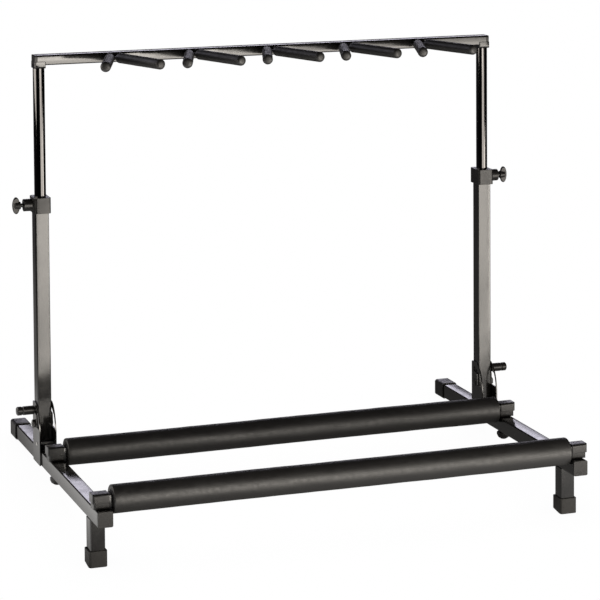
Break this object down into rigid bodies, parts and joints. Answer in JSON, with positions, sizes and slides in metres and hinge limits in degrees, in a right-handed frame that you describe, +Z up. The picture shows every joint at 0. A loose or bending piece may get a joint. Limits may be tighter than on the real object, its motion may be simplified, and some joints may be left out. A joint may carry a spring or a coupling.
{
  "type": "folding guitar floor rack",
  "caption": "Folding floor rack that stands guitars in a row: foam-covered base tubes, folding uprights and a sliding neck bar with padded pegs.",
  "frame": {"origin": "middle of the rack's width and depth, on the floor", "axes": "+Z up, the front of the rack with the low foam tube and the peg tips faces -Y, +X to the right seen from the front"},
  "size_m": [0.809, 0.5294, 0.6533],
  "materials": {
    "black_paint": "semi-gloss black powder coat on steel tube",
    "black_chrome": "polished black chrome plating",
    "dark_plastic": "finely textured moulded plastic",
    "rubber": "moulded dark grey rubber",
    "foam": "matte closed-cell foam with a smooth skin",
    "zinc": "bright zinc plating"
  },
  "bodies": {
    "base": {"front_cross_tube": "black_paint", "front_foam_sleeve": "foam", "left_foot": "rubber", "left_front_cross_bolt": "dark_plastic", "left_front_cross_cap": "dark_plastic", "left_hinge_plate_inner": "black_paint", "left_hinge_plate_outer": "black_paint", "left_leg": "black_paint", "left_pivot_bolt": "black_paint", "left_pivot_nut": "black_paint", "left_rail": "black_paint", "left_rail_front_cap": "dark_plastic", "left_rail_rear_cap": "dark_plastic", "left_rear_cross_bolt": "dark_plastic", "left_rear_cross_cap": "dark_plastic", "left_stop_pin": "zinc", "rear_cross_tube": "black_paint", "rear_foam_sleeve": "foam", "right_foot": "rubber", "right_front_cross_bolt": "dark_plastic", "right_front_cross_cap": "dark_plastic", "right_hinge_plate_inner": "black_paint", "right_hinge_plate_outer": "black_paint", "right_leg": "black_paint", "right_pivot_bolt": "black_paint", "right_pivot_nut": "black_paint", "right_rail": "black_paint", "right_rail_front_cap": "dark_plastic", "right_rail_rear_cap": "dark_plastic", "right_rear_cross_bolt": "dark_plastic", "right_rear_cross_cap": "dark_plastic", "right_stop_pin": "zinc"},
    "uprights": {"left_clamp_collar": "dark_plastic", "left_upright": "black_paint", "right_clamp_collar": "dark_plastic", "right_upright": "black_paint"},
    "neck_carriage": {"left_bar_plug": "dark_plastic", "left_bar_saddle": "black_paint", "left_pole": "black_chrome", "neck_bar": "black_paint", "peg_sleeve_1_left": "foam", "peg_sleeve_1_right": "foam", "peg_sleeve_2_left": "foam", "peg_sleeve_2_right": "foam", "peg_sleeve_3_left": "foam", "peg_sleeve_3_right": "foam", "peg_sleeve_4_left": "foam", "peg_sleeve_4_right": "foam", "peg_sleeve_5_left": "foam", "peg_sleeve_5_right": "foam", "right_bar_plug": "dark_plastic", "right_bar_saddle": "black_paint", "right_pole": "black_chrome"},
    "left_clamp_screw": {"left_clamp_screw": "dark_plastic"},
    "right_clamp_screw": {"right_clamp_screw": "dark_plastic"},
    "left_lock_plunger": {"left_lock_plunger": "dark_plastic"},
    "right_lock_plunger": {"right_lock_plunger": "dark_plastic"}
  },
  "joints": [
    {"name": "frame_fold", "type": "hinge", "parent": "base", "child": "uprights", "pos_m": [0, 0.10285, 0.08145], "axis": [1, 0, 0], "range_deg": [0, 88.5]},
    {"name": "height_slide", "type": "slide", "parent": "uprights", "child": "neck_carriage", "axis": [0, 0.1357, 0.9907], "range_m": [-0.175, 0.07]},
    {"name": "left_clamp_turn", "type": "hinge", "parent": "uprights", "child": "left_clamp_screw", "pos_m": [-0.3615, 0.14815, 0.41211], "axis": [-1, 0, 0], "range_deg": [0, 360]},
    {"name": "right_clamp_turn", "type": "hinge", "parent": "uprights", "child": "right_clamp_screw", "pos_m": [0.3615, 0.14815, 0.41211], "axis": [1, 0, 0], "range_deg": [0, 360]},
    {"name": "left_lock_pull", "type": "slide", "parent": "uprights", "child": "left_lock_plunger", "axis": [-1, 0, 0], "range_m": [0, 0.006], "stiffness_N_per_m": 600},
    {"name": "right_lock_pull", "type": "slide", "parent": "uprights", "child": "right_lock_plunger", "axis": [1, 0, 0], "range_m": [0, 0.006], "stiffness_N_per_m": 600}
  ]
}
